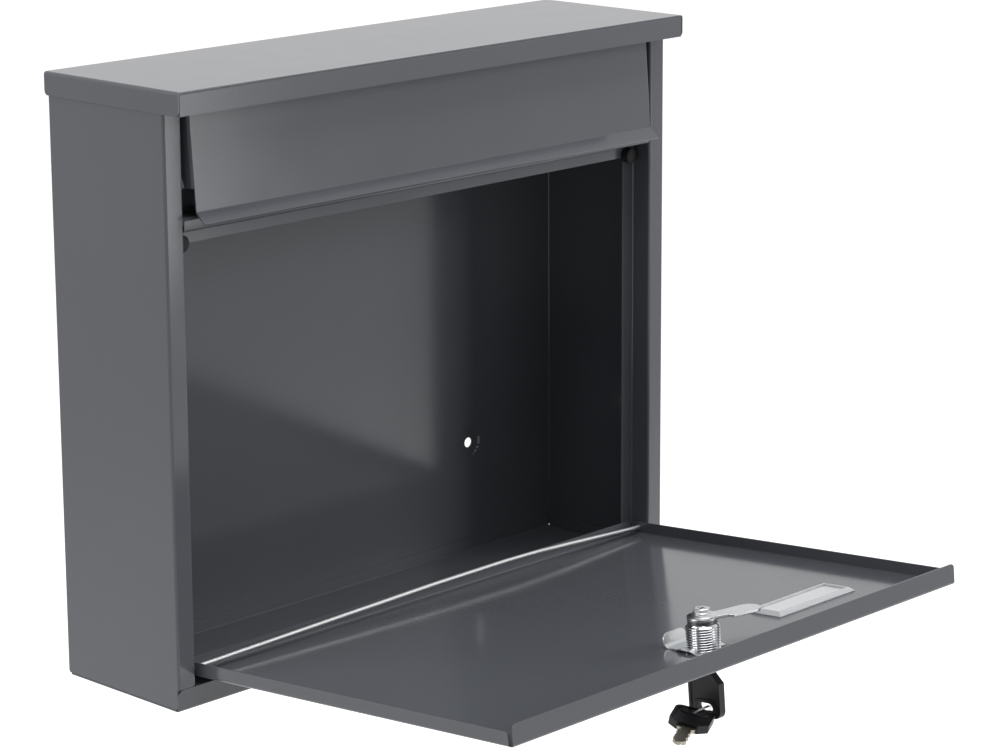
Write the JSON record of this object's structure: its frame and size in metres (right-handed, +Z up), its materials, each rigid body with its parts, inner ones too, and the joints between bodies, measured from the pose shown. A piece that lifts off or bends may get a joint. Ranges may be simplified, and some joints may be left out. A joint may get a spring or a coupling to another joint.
{
  "type": "wall mounted mailbox",
  "caption": "Flat box of folded grey sheet steel for a wall, with an overhanging lid, a letter flap, a lockable door hinged at the bottom and standing open, and a key on a ring in its cam lock.",
  "frame": {"origin": "middle of the four screw holes, in the plane of the wall", "axes": "+X to the right along the wall as seen from the front, +Y into the wall, +Z up"},
  "size_m": [0.38, 0.3176, 0.3353],
  "materials": {
    "painted_steel": "satin powder coat",
    "zinc_plated_steel": "satin",
    "chromed_lock": "polished",
    "nickel_silver": "satin",
    "clear_plastic": "clear",
    "white_card": "matt",
    "black_plastic": "fine grain",
    "bumper_rubber": "matt"
  },
  "bodies": {
    "case": {"case_wrap": "painted_steel", "bottom_tray": "painted_steel", "lid": "painted_steel", "slot_rail": "painted_steel", "flap_rod": "zinc_plated_steel", "bumper_left": "bumper_rubber", "bumper_right": "bumper_rubber"},
    "flap": {"flap_panel": "painted_steel"},
    "door": {"door_tray": "painted_steel", "hinge_wire": "zinc_plated_steel", "lock_barrel": "chromed_lock", "lock_clip": "zinc_plated_steel", "name_window": "clear_plastic", "name_card": "white_card"},
    "lock": {"lock_plug": "nickel_silver", "cam": "zinc_plated_steel", "cam_washer": "zinc_plated_steel", "cam_screw": "zinc_plated_steel", "key_head": "black_plastic", "key_blade": "nickel_silver"},
    "spare_key": {"key_ring": "zinc_plated_steel", "spare_key_head": "black_plastic", "spare_key_blade": "nickel_silver"}
  },
  "joints": [
    {"name": "door_hinge", "type": "hinge", "parent": "case", "child": "door", "pos_m": [0, -0.0879, -0.1429], "axis": [-1, 0, 0], "range_deg": [0, 85.2]},
    {"name": "flap_hinge", "type": "hinge", "parent": "case", "child": "flap", "pos_m": [0, -0.0879, 0.1547], "axis": [-1, 0, 0], "range_deg": [0, 50]},
    {"name": "lock_turn", "type": "hinge", "parent": "door", "child": "lock", "pos_m": [0, -0.28689, -0.13081], "axis": [0, 0.0837, 0.9965], "range_deg": [-68, 22]},
    {"name": "spare_key_swing", "type": "hinge", "parent": "lock", "child": "spare_key", "pos_m": [-0.00535, -0.28586, -0.16508], "axis": [0, -0.6921, -0.7218], "range_deg": [0, 30]}
  ]
}
